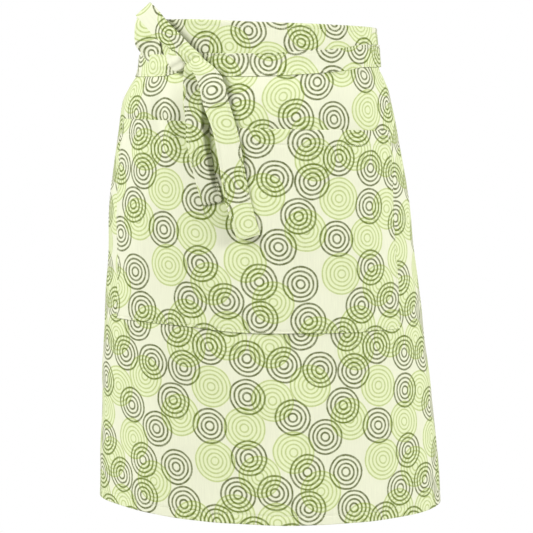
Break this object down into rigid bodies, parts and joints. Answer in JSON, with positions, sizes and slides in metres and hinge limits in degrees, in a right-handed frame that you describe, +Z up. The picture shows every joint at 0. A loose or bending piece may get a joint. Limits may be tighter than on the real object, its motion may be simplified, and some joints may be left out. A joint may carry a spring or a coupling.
{
  "type": "waist apron",
  "caption": "Half apron of printed cotton as it sits round the waist, with a wide patch pocket, a folded waistband and long ties knotted at the front in a half bow.",
  "frame": {"origin": "middle of the waist opening, level with the waistband's top edge", "axes": "+Z up along the wearer's body, -Y towards the front of the apron, +X towards the side away from the bow"},
  "size_m": [0.4398, 0.2527, 0.63],
  "materials": {
    "printed_cotton": "plain woven cotton, cream with a printed scatter of ring motifs in lime and olive"
  },
  "bodies": {
    "root": {"skirt_panel": "printed_cotton", "pocket": "printed_cotton", "waistband": "printed_cotton", "tie_front": "printed_cotton", "tie_side": "printed_cotton", "bow_knot": "printed_cotton", "bow_loop": "printed_cotton", "tail_short": "printed_cotton", "tail_long": "printed_cotton"}
  },
  "joints": []
}
